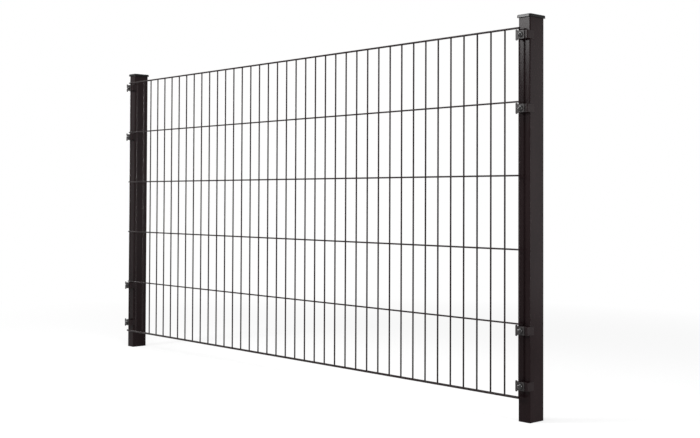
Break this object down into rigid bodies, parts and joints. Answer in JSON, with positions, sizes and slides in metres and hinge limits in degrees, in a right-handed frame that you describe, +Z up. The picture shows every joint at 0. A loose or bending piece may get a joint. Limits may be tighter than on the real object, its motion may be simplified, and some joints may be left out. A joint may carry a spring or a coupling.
{
  "type": "welded mesh fence panel",
  "caption": "Welded rod mesh fence bay held by bolted clamps between capped rectangular tube posts, standing on the post feet to guard an area.",
  "frame": {"origin": "centre of the left post's foot, on the plane that the posts stand on", "axes": "+X along the fence to the right post, +Y to the back, away from the mesh, +Z up"},
  "size_m": [2.065, 0.0849, 1.1035],
  "materials": {
    "mesh_coating": "black powder coat on drawn steel wire, semi-gloss",
    "post_coating": "black powder coat on steel tube, semi-gloss with a faint orange peel",
    "clamp_coating": "black powder coat on bent steel strip, semi-gloss",
    "cap_plastic": "moulded black plastic, fine grain"
  },
  "bodies": {
    "root": {"left_bottom_clamp_bracket": "clamp_coating", "left_bottom_clamp_plate": "clamp_coating", "left_lower_clamp_bracket": "clamp_coating", "left_lower_clamp_plate": "clamp_coating", "left_post": "post_coating", "left_post_cap": "cap_plastic", "left_top_clamp_bracket": "clamp_coating", "left_top_clamp_plate": "clamp_coating", "left_upper_clamp_bracket": "clamp_coating", "left_upper_clamp_plate": "clamp_coating", "mesh_panel": "mesh_coating", "right_bottom_clamp_bracket": "clamp_coating", "right_bottom_clamp_plate": "clamp_coating", "right_lower_clamp_bracket": "clamp_coating", "right_lower_clamp_plate": "clamp_coating", "right_post": "post_coating", "right_post_cap": "cap_plastic", "right_top_clamp_bracket": "clamp_coating", "right_top_clamp_plate": "clamp_coating", "right_upper_clamp_bracket": "clamp_coating", "right_upper_clamp_plate": "clamp_coating"}
  },
  "joints": []
}
